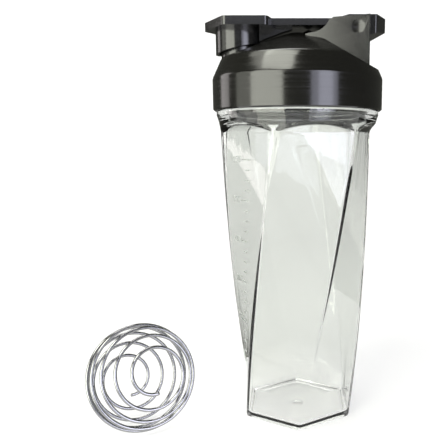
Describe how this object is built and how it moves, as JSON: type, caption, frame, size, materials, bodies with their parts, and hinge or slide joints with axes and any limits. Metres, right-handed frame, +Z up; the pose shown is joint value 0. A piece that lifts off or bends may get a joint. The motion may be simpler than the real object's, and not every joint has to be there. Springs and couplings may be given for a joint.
{
  "type": "protein shaker bottle",
  "caption": "Clear twisted hexagonal shaker cup with a threaded neck, black screw lid with a hinged flip cap over its spout, and a loose spiral wire whisk ball.",
  "frame": {"origin": "on the cup's vertical axis, at the underside it stands on", "axes": "+Z up along the cup's axis, -X towards the spout, +X towards the cap's hinge, -Y towards the side where the whisk ball lies"},
  "size_m": [0.1741, 0.111, 0.2384],
  "materials": {
    "clear_cup": "clear and polished",
    "lid_plastic": "gloss black",
    "cap_plastic": "gloss black",
    "seal_silicone": "soft matt",
    "pin_steel": "ground",
    "whisk_steel": "polished stainless wire"
  },
  "bodies": {
    "bottle": {"bottle_cup": "clear_cup"},
    "lid_carrier": {"lid_gasket": "seal_silicone"},
    "lid": {"lid_shell": "lid_plastic", "hinge_pin": "pin_steel"},
    "flip_cap": {"flip_cap": "cap_plastic", "cap_seal": "seal_silicone"},
    "whisk_ball": {"whisk_ball": "whisk_steel"}
  },
  "joints": [
    {"name": "lid_rise", "type": "slide", "parent": "bottle", "child": "lid_carrier", "axis": [0, 0, 1], "range_m": [0, 0.0075]},
    {"name": "lid_turn", "type": "hinge", "parent": "lid_carrier", "child": "lid", "pos_m": [0, 0, 0.19], "axis": [0, 0, 1], "range_deg": [0, 450]},
    {"name": "cap_flip", "type": "hinge", "parent": "lid", "child": "flip_cap", "pos_m": [0.031, 0, 0.231], "axis": [0, 1, 0], "range_deg": [0, 110]},
    {"name": "ball_lift", "type": "slide", "parent": "bottle", "child": "whisk_ball", "axis": [0, 0, 1], "range_m": [0, 0.2]}
  ],
  "couplings": [
    {"joint": "lid_rise", "follows": "lid_turn", "m_per_rad": 0.00095493}
  ]
}
